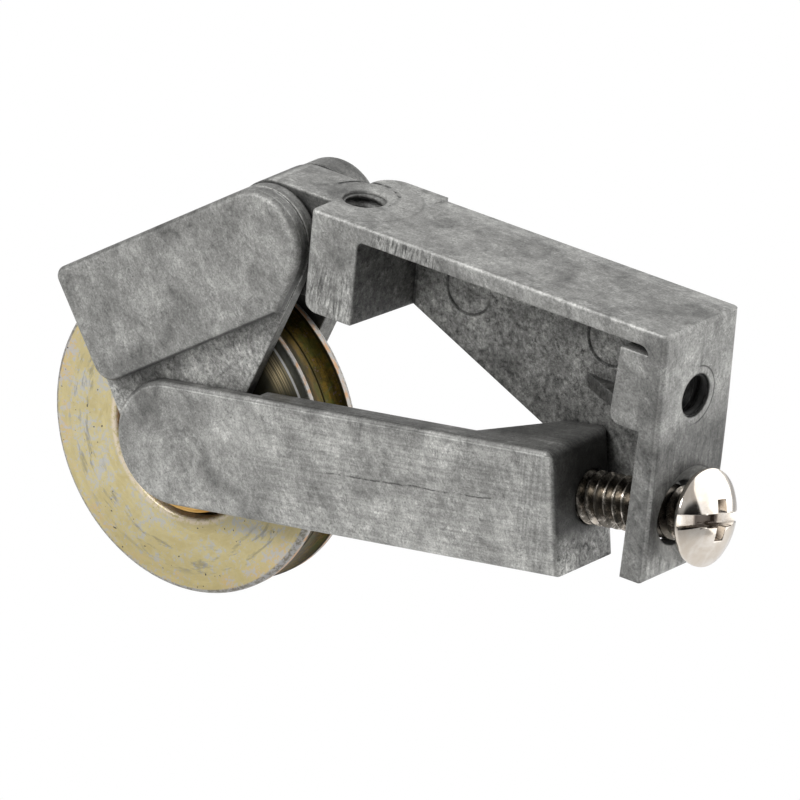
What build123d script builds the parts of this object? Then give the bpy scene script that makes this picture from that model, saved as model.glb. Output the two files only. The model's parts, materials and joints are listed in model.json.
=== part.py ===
from build123d import *
from math import atan2, cos, degrees, radians, sin, sqrt, tan
import os

# Sliding door roller: a die-cast housing, a swinging fork that carries a ball-bearing wheel,
# and a link with an adjusting screw that pulls the wheel in and out to raise the door.
#
# Frame: origin at the mouth of the tapped hole in the top face, +X along the housing to its
# end wall, +Z up. Depths are drawn from the wheel's middle plane and moved to the frame at
# the end. The open side of the housing faces -Y.

# Housing
HOUSING_LENGTH = 50.15
HOUSING_HEIGHT = 30.2
HOLE_TO_BOSS_END = 2.5
OPEN_DEPTH = 7.35
BACK_DEPTH = 7.15
TOP_THICKNESS = 2.0
BOSS_LENGTH = 6.8
BOSS_HEIGHT = 12.3
BOSS_HEEL_RADIUS = 2.0
BACK_WALL_DEPTH = 4.0
BACK_CORNER_RADIUS = 2.8
END_CORNER_RADIUS = 1.5
NEAR_CORNER_RADIUS = 0.7
END_WALL_TOP = 2.15
END_WALL_FOOT = 3.3
CAST_RADIUS = 0.8
TOP_EDGE_RADIUS = 0.5
POCKET_CORNER_RADIUS = 0.3
BACK_DRAFT = 3.8
POCKET_DRAFT = 2.5

# Tapped mounting holes, for a 1/4-20 screw
TAP_RADIUS = 2.6
HOLE_OFFSET = 0.5
END_HOLE_DROP = 9.0

# Bevelled strip along the back of the top face
BEVEL_START = 6.1
BEVEL_WIDTH = 2.8
BEVEL_DROP = 0.45

# Gusset and tab that stiffen the end wall
GUSSET_DROP = 13.2
GUSSET_THICKNESS = 1.6
GUSSET_ALONG = 15.8
GUSSET_OUT = 8.1
TAB_DROP = 3.05
TAB_FOOT_DROP = 12.3
TAB_THICKNESS = 2.2
TAB_TOP_LENGTH = 3.9
TAB_FOOT_LENGTH = 4.6
TAB_CORNER_RADIUS = 1.3

# Ejector-pin marks on the inside of the back wall
PIN_MARK_RADIUS = 3.1
PIN_MARK_DEPTH = 0.15
PIN_MARK_DROP = 8.35
PIN_MARK_FIRST = 12.3
PIN_MARK_PITCH = 20.0

# Pivot of the fork
PIVOT_REACH = 9.45
PIVOT_DROP = 6.3
PIVOT_PIN_RADIUS = 2.5
PIVOT_HEAD_RADIUS = 3.3
TONGUE_WIDTH = 7.0

# Fork
FORK_REACH = 29.8
FORK_LEAN = 20.15
FORK_SLANT = 35.0
FORK_WIDTH = 16.15
FORK_GAP = 8.6
FORK_BOSS_RADIUS = 6.15
FORK_BACK = 30.0
FORK_SKIRT = 8.3
FORK_TOP_CORNER_RADIUS = 1.3
FORK_LOW_CORNER_RADIUS = 2.5
CHEEK_THICKNESS = 1.55
CHEEK_END_RADIUS = 6.0
CHEEK_END_SHIFT = 0.65
PARTING_GROOVE = 0.25
WEB_THICKNESS = 2.55
WEB_START = 8.5
FORK_EDGE_RADIUS = 0.8

# Wheel
WHEEL_RADIUS = 19.05
WHEEL_WIDTH = 8.0
RIM_EDGE_RADIUS = 0.75
TREAD_LAND = 0.65
TREAD_DEPTH = 0.9
SEAM_CHAMFER = 0.12
HUB_OPENING_RADIUS = 10.0
HUB_LIP_RADIUS = 0.4
WHEEL_WALL = 1.4

# Ball bearing in the wheel, balls of 3/16 in
BALL_RADIUS = 2.38
BALL_COUNT = 12
BALL_CIRCLE_RADIUS = 9.7
INNER_FLANGE_RADIUS = 9.35
INNER_FLANGE_SETBACK = 0.15
INNER_HUB_RADIUS = 4.0

# Wheel axle
AXLE_RADIUS = 2.5
AXLE_HEAD_RADIUS = 3.6
HEAD_THICKNESS = 1.0
BLIND_WALL = 0.6

# Adjusting link
LINK_LENGTH = 55.0
LINK_PLATE = 2.8
LINK_RELIEF_RADIUS = 14.6
LINK_HALF_HEIGHT = 7.4
LINK_DROP = 0.25
LINK_BOSS_RADIUS = 4.25
LINK_EDGE_RADIUS = 0.6
BLOCK_BACK_DEPTH = 3.75
BLOCK_LENGTH = 12.5
BLOCK_SLOPE_RUN = 7.0
BLOCK_CORNER_RADIUS = 1.0
BLOCK_TOP_RADIUS = 1.3

# Adjusting screw, 1/4-20
SCREW_RADIUS = 3.175
SCREW_LENGTH = 31.75
SCREW_TIP_CHAMFER = 0.6
HEAD_RADIUS = 5.62
HEAD_RIM = 0.75
HEAD_HEIGHT = 2.9
HEAD_STANDOFF = 2.1
SLOT_WIDTH = 1.35
SLOT_DEPTH = 2.0
CROSS_SPAN = 5.7
CROSS_WIDTH = 1.6
CROSS_DEPTH = 2.4
RECESS_TURN = -12.0

# Dished hole for the adjusting screw in the end wall
SCREW_HOLE_RISE = 6.6
SCREW_HOLE_RADIUS = 3.8
DISH_RADIUS = 5.8
DISH_DEPTH = 1.3

# Clearances
RUNNING = 0.05
BALL_PLAY = 0.07
SIDE_PLAY = 0.1

# Places that follow from the driving dimensions
HOUSING_LEFT = -HOLE_TO_BOSS_END
HOUSING_RIGHT = HOUSING_LEFT + HOUSING_LENGTH
BOSS_RIGHT = HOUSING_LEFT + BOSS_LENGTH
PIVOT_X = -PIVOT_REACH
PIVOT_Z = -PIVOT_DROP
AXLE_X = PIVOT_X - FORK_REACH * sin(radians(FORK_LEAN))
AXLE_Z = PIVOT_Z - FORK_REACH * cos(radians(FORK_LEAN))
SCREW_HOLE_Z = SCREW_HOLE_RISE - HOUSING_HEIGHT
LINK_RUN = HOUSING_RIGHT - AXLE_X
LINK_RISE = SCREW_HOLE_Z - AXLE_Z
LINK_TILT = degrees(atan2(LINK_RISE, LINK_RUN))
HEAD_SEAT = sqrt(LINK_RUN**2 + LINK_RISE**2) + HEAD_STANDOFF
FORK_OUTSIDE = FORK_WIDTH / 2
FORK_INSIDE = FORK_GAP / 2
CHEEK_OUTSIDE = FORK_INSIDE + CHEEK_THICKNESS
LINK_BACK = -OPEN_DEPTH + LINK_PLATE
LINK_RELIEF = -CHEEK_OUTSIDE - SIDE_PLAY
RACE_RADIUS = BALL_RADIUS + BALL_PLAY
HALF_WIDTH = WHEEL_WIDTH / 2

# Side views: drawn in X and Z, with depth going back along +Y
LINK_VIEW = Plane(
    origin=(AXLE_X, 0, AXLE_Z),
    x_dir=(cos(radians(LINK_TILT)), 0, sin(radians(LINK_TILT))),
    z_dir=(0, -1, 0),
)
FORK_VIEW = Plane(
    origin=(PIVOT_X, 0, PIVOT_Z),
    x_dir=(cos(radians(FORK_SLANT)), 0, sin(radians(FORK_SLANT))),
    z_dir=(0, -1, 0),
)


def slab(profile, front, back, view=Plane.XZ):
    """Extrude a side view between two depths."""
    return extrude(view.offset(-front) * profile, amount=back - front, dir=(0, 1, 0))


def soften(profile, corner, radius):
    """Round the corner of a flat profile that lies nearest to a point."""
    nearest = profile.vertices().sort_by_distance((corner[0], corner[1], 0))[0]
    return fillet(nearest, radius)


def rod(radius, front, back, x, z):
    """A round bar along Y, centred on x and z."""
    return slab(Pos(x, z) * Circle(radius), front, back)


def turned(profile, x, z):
    """Turn a profile of radius and depth about an axis along Y."""
    return Pos(x, 0, z) * revolve(profile, Axis.Y)


def rectangle(left, right, bottom, top):
    """A flat rectangle between two corners."""
    return Polygon((left, bottom), (right, bottom), (right, top), (left, top), align=None)


def housing_body():
    """The solid casting: boss, top, back and end wall, before the pocket is cut."""
    foot = HOUSING_RIGHT - END_WALL_FOOT
    outline = Polygon(
        (HOUSING_LEFT, 0),
        (HOUSING_RIGHT, 0),
        (HOUSING_RIGHT, -HOUSING_HEIGHT),
        (foot, -HOUSING_HEIGHT),
        (BOSS_RIGHT, -BOSS_HEIGHT),
        (HOUSING_LEFT, -BOSS_HEIGHT),
        align=None,
    )
    outline = soften(outline, (HOUSING_LEFT, -BOSS_HEIGHT), BOSS_HEEL_RADIUS)
    outline = soften(outline, (HOUSING_RIGHT, -HOUSING_HEIGHT), CAST_RADIUS)
    outline = soften(outline, (foot, -HOUSING_HEIGHT), CAST_RADIUS)
    body = slab(outline, -OPEN_DEPTH, BACK_DEPTH)
    plan = rectangle(HOUSING_LEFT, HOUSING_RIGHT, -OPEN_DEPTH, BACK_DEPTH)
    plan = soften(plan, (HOUSING_LEFT, BACK_DEPTH), BACK_CORNER_RADIUS)
    plan = soften(plan, (HOUSING_RIGHT, BACK_DEPTH), END_CORNER_RADIUS)
    plan = soften(plan, (HOUSING_RIGHT, -OPEN_DEPTH), NEAR_CORNER_RADIUS)
    plan = soften(plan, (HOUSING_LEFT, -OPEN_DEPTH), NEAR_CORNER_RADIUS)
    return body & extrude(plan, amount=HOUSING_HEIGHT, dir=(0, 0, -1))


def housing_pocket():
    """The pocket behind the open side, wider at its mouth for the draft of the casting."""
    depth = OPEN_DEPTH + BACK_WALL_DEPTH
    run = depth * tan(radians(POCKET_DRAFT))
    below = HOUSING_HEIGHT + depth
    end_slope = (END_WALL_FOOT - END_WALL_TOP) / (HOUSING_HEIGHT - TOP_THICKNESS)
    wall_top = HOUSING_RIGHT - END_WALL_TOP
    wall_below = wall_top - end_slope * (below - TOP_THICKNESS)
    left = BOSS_RIGHT + run
    ceiling = -TOP_THICKNESS - run
    floor_view = Polygon(
        (left, -below), (wall_below - run, -below), (wall_top - run, ceiling), (left, ceiling), align=None
    )
    floor_view = soften(floor_view, (wall_top - run, ceiling), CAST_RADIUS)
    floor_view = soften(floor_view, (left, ceiling), POCKET_CORNER_RADIUS)
    return extrude(Plane.XZ.offset(-BACK_WALL_DEPTH) * floor_view, amount=depth, taper=-POCKET_DRAFT)


def back_draft():
    """What the draft of the casting takes off the back face, more towards the foot."""
    lean = HOUSING_HEIGHT * tan(radians(BACK_DRAFT))
    wedge = Polygon((BACK_DEPTH, 0), (BACK_DEPTH, -HOUSING_HEIGHT), (BACK_DEPTH - lean, -HOUSING_HEIGHT), align=None)
    return extrude(Plane.YZ.offset(HOUSING_LEFT) * wedge, amount=HOUSING_LENGTH, dir=(1, 0, 0))


def top_bevel():
    """The low bevel along the back edge of the top face."""
    wedge = Polygon((BACK_DEPTH - BEVEL_WIDTH, 0), (BACK_DEPTH, 0), (BACK_DEPTH, -BEVEL_DROP), align=None)
    return extrude(Plane.YZ.offset(BEVEL_START) * wedge, amount=HOUSING_RIGHT - BEVEL_START, dir=(1, 0, 0))


def gusset():
    """The flat triangular rib in the corner of the back and end walls."""
    wall = HOUSING_RIGHT - END_WALL_TOP
    corner = (wall, BACK_WALL_DEPTH)
    plan = Polygon(
        (wall - GUSSET_ALONG, BACK_WALL_DEPTH),
        (wall, BACK_WALL_DEPTH - GUSSET_OUT),
        corner,
        align=None,
    )
    return extrude(Plane.XY.offset(-GUSSET_DROP) * plan, amount=GUSSET_THICKNESS, dir=(0, 0, -1))


def tab():
    """The tab beside the end wall on the open side, with a narrow slot above it."""
    wall = HOUSING_RIGHT - END_WALL_TOP
    profile = Polygon(
        (wall, -TAB_DROP),
        (wall - TAB_TOP_LENGTH, -TAB_DROP),
        (wall - TAB_FOOT_LENGTH, -TAB_FOOT_DROP),
        (wall, -TAB_FOOT_DROP),
        align=None,
    )
    profile = soften(profile, (wall - TAB_FOOT_LENGTH, -TAB_FOOT_DROP), TAB_CORNER_RADIUS)
    return slab(profile, -OPEN_DEPTH, TAB_THICKNESS - OPEN_DEPTH)


def tongue():
    """The knuckle that stands out of the boss and fits between the cheeks of the fork."""
    knuckle = Pos(PIVOT_X, PIVOT_Z) * Circle(PIVOT_DROP)
    neck = rectangle(PIVOT_X, HOUSING_LEFT + BOSS_HEEL_RADIUS, -2 * PIVOT_DROP, 0)
    return slab(knuckle + neck, -TONGUE_WIDTH / 2, TONGUE_WIDTH / 2)


def screw_seat():
    """The dished hole in the end wall where the head of the adjusting screw seats."""
    inner = DISH_RADIUS**2 - SCREW_HOLE_RADIUS**2
    rise = (inner - DISH_DEPTH**2) / (2 * DISH_DEPTH)
    ball = Sphere(sqrt(rise**2 + DISH_RADIUS**2))
    dish = Pos(HOUSING_RIGHT + rise, 0, SCREW_HOLE_Z) * ball
    neck = LINK_VIEW * Pos(HEAD_SEAT, 0, 0) * Rot(0, 90, 0) * Cylinder(SCREW_HOLE_RADIUS, 4 * END_WALL_FOOT)
    return dish, neck


def housing():
    """The die-cast housing."""
    body = housing_body() - housing_pocket()
    body = body + gusset() + tab() + tongue()
    body = body - back_draft() - top_bevel()
    end_edge = body.edges().filter_by(Axis.Y).sort_by_distance((HOUSING_RIGHT, 0, 0))[0]
    body = fillet(end_edge, TOP_EDGE_RADIUS)
    body = body - Pos(0, -HOLE_OFFSET, 0) * Cylinder(TAP_RADIUS, 4 * BOSS_HEIGHT)
    end_hole = Plane.YZ.offset(HOUSING_RIGHT) * Pos(-HOLE_OFFSET, -END_HOLE_DROP) * Circle(TAP_RADIUS)
    body = body - extrude(end_hole, amount=2 * END_WALL_FOOT, dir=(-1, 0, 0))
    body = body - rod(PIVOT_PIN_RADIUS + RUNNING, -TONGUE_WIDTH, TONGUE_WIDTH, PIVOT_X, PIVOT_Z)
    for cutter in screw_seat():
        body = body - cutter
    for place in range(2):
        mark_x = PIN_MARK_FIRST + place * PIN_MARK_PITCH
        body = body - rod(PIN_MARK_RADIUS, 0, BACK_WALL_DEPTH + PIN_MARK_DEPTH, mark_x, -PIN_MARK_DROP)
    return body


def cheek_profile():
    """Outline of a cheek: a hull round the pivot boss, two corners and the axle end."""
    axle_angle = radians(90 - FORK_LEAN - FORK_SLANT)
    axle = Vector(-FORK_REACH * cos(axle_angle), -FORK_REACH * sin(axle_angle))
    end = axle - Vector(CHEEK_END_SHIFT, 0)
    top_corner = (FORK_TOP_CORNER_RADIUS - FORK_BACK, FORK_BOSS_RADIUS - FORK_TOP_CORNER_RADIUS)
    low_corner = (FORK_LOW_CORNER_RADIUS - FORK_BACK, FORK_LOW_CORNER_RADIUS - FORK_SKIRT)
    circles = (
        Circle(FORK_BOSS_RADIUS).edges()
        + (Pos(*top_corner) * Circle(FORK_TOP_CORNER_RADIUS)).edges()
        + (Pos(*low_corner) * Circle(FORK_LOW_CORNER_RADIUS)).edges()
        + (Pos(end.X, end.Y) * Circle(CHEEK_END_RADIUS)).edges()
    )
    return make_hull(circles)


def swing_arm():
    """The die-cast fork: two cheeks joined by a web over the wheel."""
    cheek = cheek_profile()
    low_corner = Pos(FORK_LOW_CORNER_RADIUS - FORK_BACK, FORK_LOW_CORNER_RADIUS - FORK_SKIRT)
    skirt_corner = low_corner * Circle(FORK_LOW_CORNER_RADIUS)
    right_of_corner = rectangle(low_corner.position.X, FORK_BACK, -FORK_SKIRT, FORK_BACK)
    above_corner = rectangle(-FORK_BACK, FORK_BACK, low_corner.position.Y, FORK_BACK)
    skin = cheek & (skirt_corner + right_of_corner + above_corner)
    web = cheek & rectangle(-2 * FORK_BACK, -WEB_START, FORK_BOSS_RADIUS - WEB_THICKNESS, FORK_BACK)
    groove_front = -CHEEK_OUTSIDE - PARTING_GROOVE
    near_skin = slab(skin, -FORK_OUTSIDE, groove_front, FORK_VIEW)
    front_edges = near_skin.faces().sort_by(Axis.Y)[0].edges()
    arm = fillet(front_edges, FORK_EDGE_RADIUS)
    arm = arm + slab(offset(skin, -PARTING_GROOVE), groove_front, -CHEEK_OUTSIDE, FORK_VIEW)
    arm = arm + slab(cheek, -CHEEK_OUTSIDE, -FORK_INSIDE, FORK_VIEW)
    far_cheek = slab(cheek, FORK_INSIDE, FORK_OUTSIDE, FORK_VIEW)
    back_edges = far_cheek.faces().sort_by(Axis.Y)[-1].edges()
    arm = arm + fillet(back_edges, FORK_EDGE_RADIUS)
    arm = arm + slab(web, -FORK_INSIDE, FORK_INSIDE, FORK_VIEW)
    arm = arm - rod(PIVOT_PIN_RADIUS, BLIND_WALL - FORK_OUTSIDE, FORK_OUTSIDE, PIVOT_X, PIVOT_Z)
    arm = arm - rod(PIVOT_HEAD_RADIUS, FORK_OUTSIDE - HEAD_THICKNESS, FORK_OUTSIDE, PIVOT_X, PIVOT_Z)
    arm = arm - rod(LINK_BOSS_RADIUS + RUNNING, -FORK_OUTSIDE, 0, AXLE_X, AXLE_Z)
    arm = arm - rod(AXLE_RADIUS + RUNNING, 0, FORK_OUTSIDE, AXLE_X, AXLE_Z)
    seat = FORK_OUTSIDE - HEAD_THICKNESS - SIDE_PLAY
    return arm - rod(AXLE_HEAD_RADIUS + SIDE_PLAY, seat, FORK_OUTSIDE, AXLE_X, AXLE_Z)


def headed_pin(radius, head_radius, front, x, z):
    """A plain pin along Y, blind in front and riveted flush at the back."""
    neck = FORK_OUTSIDE - HEAD_THICKNESS
    return rod(radius, front, FORK_OUTSIDE, x, z) + rod(head_radius, neck, FORK_OUTSIDE, x, z)


def pivot_pin():
    """The pin that the fork swings on, pressed into both cheeks."""
    return headed_pin(PIVOT_PIN_RADIUS, PIVOT_HEAD_RADIUS, BLIND_WALL - FORK_OUTSIDE, PIVOT_X, PIVOT_Z)


def wheel_axle():
    """The axle of the wheel, pressed into the boss of the link and riveted behind the fork."""
    return headed_pin(AXLE_RADIUS, AXLE_HEAD_RADIUS, BLIND_WALL - OPEN_DEPTH, AXLE_X, AXLE_Z)


def race_groove():
    """Section of the round groove that the balls run in."""
    return Pos(BALL_CIRCLE_RADIUS, 0) * Circle(RACE_RADIUS)


def wheel_half(side):
    """One pressed half of the wheel, with half of the ball race and half of the tread."""
    face = rectangle(HUB_OPENING_RADIUS, WHEEL_RADIUS, -HALF_WIDTH, 0)
    face = soften(face, (WHEEL_RADIUS, -HALF_WIDTH), RIM_EDGE_RADIUS)
    face = soften(face, (HUB_OPENING_RADIUS, -HALF_WIDTH), HUB_LIP_RADIUS)
    groove_half = HALF_WIDTH - RIM_EDGE_RADIUS - TREAD_LAND
    tread_radius = (groove_half**2 + TREAD_DEPTH**2) / (2 * TREAD_DEPTH)
    groove_foot = WHEEL_RADIUS - TREAD_DEPTH
    face = face - Pos(groove_foot + tread_radius, 0) * Circle(tread_radius)
    seam = Polygon(
        (groove_foot, -SEAM_CHAMFER), (groove_foot + SEAM_CHAMFER, 0), (groove_foot - SEAM_CHAMFER, 0), align=None
    )
    race_outside = BALL_CIRCLE_RADIUS + RACE_RADIUS + WHEEL_WALL
    hollow = rectangle(race_outside, groove_foot - WHEEL_WALL, WHEEL_WALL - HALF_WIDTH, 0)
    section = face - seam - hollow - race_groove()
    half = turned(section, AXLE_X, AXLE_Z)
    return half if side < 0 else mirror(half, Plane.XZ)


def inner_race(side, hub_end):
    """One half of the inner race: a cone with a flange that fills the hub of the wheel."""
    flange = INNER_FLANGE_SETBACK - HALF_WIDTH
    ring = rectangle(AXLE_RADIUS, INNER_FLANGE_RADIUS, flange, 0)
    hub = rectangle(AXLE_RADIUS, INNER_HUB_RADIUS, -hub_end, flange)
    section = ring + hub - race_groove()
    half = turned(section, AXLE_X, AXLE_Z)
    return half if side < 0 else mirror(half, Plane.XZ)


def ball(number):
    """One bearing ball on the ball circle."""
    angle = radians(360 / BALL_COUNT * number)
    x = AXLE_X + BALL_CIRCLE_RADIUS * sin(angle)
    z = AXLE_Z + BALL_CIRCLE_RADIUS * cos(angle)
    return Pos(x, 0, z) * Sphere(BALL_RADIUS)


def link_outline():
    """Outline of the link: round at the axle and square at the screw."""
    end = Pos(0, -LINK_DROP) * Circle(LINK_HALF_HEIGHT)
    bar = rectangle(0, LINK_LENGTH, -LINK_DROP - LINK_HALF_HEIGHT, LINK_HALF_HEIGHT - LINK_DROP)
    return soften(end + bar, (LINK_LENGTH, LINK_HALF_HEIGHT), BLOCK_TOP_RADIUS)


def adjusting_link():
    """The link from the wheel axle to the threaded block that the screw turns in."""
    block_start = LINK_LENGTH - BLOCK_LENGTH
    plan = Polygon(
        (-2 * LINK_HALF_HEIGHT, -OPEN_DEPTH),
        (LINK_LENGTH, -OPEN_DEPTH),
        (LINK_LENGTH, BLOCK_BACK_DEPTH),
        (block_start + BLOCK_SLOPE_RUN, BLOCK_BACK_DEPTH),
        (block_start, LINK_BACK),
        (-2 * LINK_HALF_HEIGHT, LINK_BACK),
        align=None,
    )
    plan = soften(plan, (LINK_LENGTH, -OPEN_DEPTH), BLOCK_CORNER_RADIUS)
    plan = soften(plan, (LINK_LENGTH, BLOCK_BACK_DEPTH), BLOCK_CORNER_RADIUS)
    along = LINK_VIEW.x_dir
    up = LINK_VIEW.y_dir
    plan_view = Plane(origin=LINK_VIEW.origin, x_dir=along, z_dir=up)
    thick = extrude(plan_view * plan, amount=2 * LINK_HALF_HEIGHT, both=True)
    bar = slab(link_outline(), -OPEN_DEPTH, BLOCK_BACK_DEPTH, LINK_VIEW)
    front_edges = bar.faces().sort_by(Axis.Y)[0].edges()
    link = fillet(front_edges, LINK_EDGE_RADIUS) & thick
    link = link - rod(LINK_RELIEF_RADIUS, LINK_RELIEF, 0, AXLE_X, AXLE_Z)
    link = link + rod(LINK_BOSS_RADIUS, LINK_RELIEF, -FORK_INSIDE, AXLE_X, AXLE_Z)
    link = link - rod(AXLE_RADIUS, BLIND_WALL - OPEN_DEPTH, 0, AXLE_X, AXLE_Z)
    bore = Pos(LINK_LENGTH, 0, 0) * Rot(0, 90, 0) * Cylinder(SCREW_RADIUS + RUNNING, 3 * BLOCK_LENGTH)
    return link - LINK_VIEW * bore


def adjusting_screw():
    """The adjusting screw, with a slot and a cross in its domed head."""
    dome_height = HEAD_HEIGHT - HEAD_RIM
    dome_radius = (HEAD_RADIUS**2 + dome_height**2) / (2 * dome_height)
    dome_top = HEAD_SEAT + HEAD_HEIGHT
    half_way = HEAD_RADIUS / 2
    shoulder = dome_top - dome_radius + sqrt(dome_radius**2 - half_way**2)
    tip = HEAD_SEAT - SCREW_LENGTH
    shaft = Polyline(
        (dome_top, 0),
        (tip, 0),
        (tip, SCREW_RADIUS - SCREW_TIP_CHAMFER),
        (tip + SCREW_TIP_CHAMFER, SCREW_RADIUS),
        (HEAD_SEAT, SCREW_RADIUS),
        (HEAD_SEAT, HEAD_RADIUS - HEAD_RIM / 2),
        (HEAD_SEAT + HEAD_RIM / 2, HEAD_RADIUS),
        (HEAD_SEAT + HEAD_RIM, HEAD_RADIUS),
    )
    dome = ThreePointArc((HEAD_SEAT + HEAD_RIM, HEAD_RADIUS), (shoulder, half_way), (dome_top, 0))
    screw = revolve(make_face(shaft.edges() + dome.edges()), Axis.X)
    slot = Pos(dome_top, 0, 0) * Box(2 * SLOT_DEPTH, 3 * HEAD_RADIUS, SLOT_WIDTH)
    screw = screw - Rot(RECESS_TURN, 0, 0) * slot
    for turn in (0, 90):
        wing = Pos(dome_top, 0, 0) * Box(2 * CROSS_DEPTH, CROSS_SPAN, CROSS_WIDTH)
        screw = screw - Rot(RECESS_TURN + turn, 0, 0) * wing
    tilt = Pos(AXLE_X, 0, AXLE_Z) * Rot(0, -LINK_TILT, 0)
    return tilt * screw


pieces = {
    "housing": housing(),
    "swing_arm": swing_arm(),
    "adjusting_link": adjusting_link(),
    "adjusting_screw": adjusting_screw(),
    "pivot_pin": pivot_pin(),
    "wheel_axle": wheel_axle(),
    "wheel_front": wheel_half(-1),
    "wheel_back": wheel_half(1),
    "inner_race_front": inner_race(-1, FORK_INSIDE),
    "inner_race_back": inner_race(1, FORK_INSIDE - RUNNING),
}
for number in range(BALL_COUNT):
    pieces[f"ball_{number + 1}"] = ball(number)

os.makedirs("parts", exist_ok=True)
for name, piece in pieces.items():
    export_step(Pos(0, HOLE_OFFSET, 0) * piece, f"parts/{name}.step")
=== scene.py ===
# %% [markdown]
# # A sliding door roller
# The roller has three grey zinc castings, a yellow plated wheel with a ball bearing and a
# bright adjusting screw. The solids come from the CAD model, in metres and in their real
# places, so this file adds only the finishes, the fine threads, the light and the camera.

# %% Load the CAD model as a fixed frame
import json
import math

import bpy
from mathutils import Matrix, Vector


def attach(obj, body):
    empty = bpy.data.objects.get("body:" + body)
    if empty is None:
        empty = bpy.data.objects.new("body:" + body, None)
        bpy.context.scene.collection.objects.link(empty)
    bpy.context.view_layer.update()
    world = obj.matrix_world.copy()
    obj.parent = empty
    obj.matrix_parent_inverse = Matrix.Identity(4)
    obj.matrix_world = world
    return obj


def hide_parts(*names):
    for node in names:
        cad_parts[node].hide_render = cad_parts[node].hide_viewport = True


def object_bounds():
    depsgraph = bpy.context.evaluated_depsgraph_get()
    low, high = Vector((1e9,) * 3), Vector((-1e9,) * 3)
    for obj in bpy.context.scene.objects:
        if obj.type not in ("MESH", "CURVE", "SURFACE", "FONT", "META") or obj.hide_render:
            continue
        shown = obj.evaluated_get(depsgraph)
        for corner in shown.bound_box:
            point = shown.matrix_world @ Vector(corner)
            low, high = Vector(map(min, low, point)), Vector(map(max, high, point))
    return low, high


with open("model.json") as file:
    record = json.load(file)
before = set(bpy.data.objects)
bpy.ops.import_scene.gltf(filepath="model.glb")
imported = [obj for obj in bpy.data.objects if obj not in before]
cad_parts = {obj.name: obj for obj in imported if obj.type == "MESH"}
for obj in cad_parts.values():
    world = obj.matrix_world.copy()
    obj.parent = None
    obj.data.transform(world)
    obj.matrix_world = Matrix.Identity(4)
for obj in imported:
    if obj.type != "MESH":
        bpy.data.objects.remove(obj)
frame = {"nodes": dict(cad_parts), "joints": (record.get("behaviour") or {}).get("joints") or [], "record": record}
nodes = frame["nodes"]
cad_low, cad_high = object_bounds()
print("CAD nodes:", len(nodes))

# %% [markdown]
# Sizes of small hardware are easier to read in millimetres. One value turns them into
# metres, and the joints of the frame say where the wheel's axle and the screw's axis are.

# %% Millimetres and the axes of the moving pieces
MM = 0.001
joint_at = {joint["name"]: joint for joint in frame["joints"]}
axle = Vector(joint_at["wheel_spin"]["pos_m"])
screw_axis = Vector(joint_at["screw_turn"]["axis"]).normalized()
print("Axle in mm:", [round(value / MM, 2) for value in axle])

# %% [markdown]
# A photograph of a small product is usually taken from well back with a long lens, so that
# its lines stay nearly parallel. The camera stands at the photograph's direction, aimed at
# the middle of the roller, and leans a few degrees as the photographer's did.

# %% Camera
AIM = Vector((0.01184, -0.00638, -0.01915))
DISTANCE = 1.9676
AZIMUTH = math.radians(35.19)
ELEVATION = math.radians(22.48)
ROLL = math.radians(5.17)
LENS = 783.2

turn = Matrix.Rotation(AZIMUTH, 4, "Z") @ Matrix.Rotation(math.pi / 2 - ELEVATION, 4, "X")
turn = turn @ Matrix.Rotation(ROLL, 4, "Z")
camera_data = bpy.data.cameras.new("camera")
camera_data.lens = LENS
camera_data.sensor_width = 36
camera_data.clip_end = 10
camera = bpy.data.objects.new("camera", camera_data)
camera.matrix_world = Matrix.Translation(AIM) @ turn @ Matrix.Translation((0, 0, DISTANCE))
bpy.context.scene.collection.objects.link(camera)
bpy.context.scene.camera = camera
bpy.context.scene.view_settings.view_transform = "Standard"
print("Camera at", [round(value, 3) for value in camera.matrix_world.translation])

# %% [markdown]
# Metal shows its surroundings, so an even white room would make it look like plaster. The
# world here is a studio: a soft bright ceiling, a darker band at eye level in front, where
# the camera stands, a white backdrop behind, and a dark card far to the right, which the
# mirror-bright head of the screw shows. A camera ray sees plain white, so the background
# stays white however dark the studio is.

# %% World
CEILING = 0.6
CEILING_HEIGHTS = (0.1, 0.6)
EYE_LEVEL = 0.1
BACKDROP = 0.8
BACKDROP_DEPTHS = (0.25, 0.55)
CARD = 0.06
CARD_SIDES = (0.84, 0.92)
WHITE = (1, 1, 1, 1)


def set_input(node, name, value):
    """Set one input of a node, or link it where the value is another node's output."""
    if isinstance(value, bpy.types.NodeSocket):
        node.id_data.links.new(value, node.inputs[name])
    else:
        node.inputs[name].default_value = value


def add_node(tree, kind, inputs=None, **settings):
    """Add a node with its settings and inputs, and return it."""
    node = tree.nodes.new("ShaderNode" + kind)
    for name, value in settings.items():
        setattr(node, name, value)
    for name, value in (inputs or {}).items():
        set_input(node, name, value)
    return node


def studio_ramp(tree, value, limits, first, last):
    """A smooth change from a first to a last brightness between two limits of a direction."""
    inputs = {"Value": value, "From Min": limits[0], "From Max": limits[1]}
    inputs.update({"To Min": first, "To Max": last})
    return add_node(tree, "MapRange", inputs, interpolation_type="SMOOTHSTEP").outputs[0]


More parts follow.
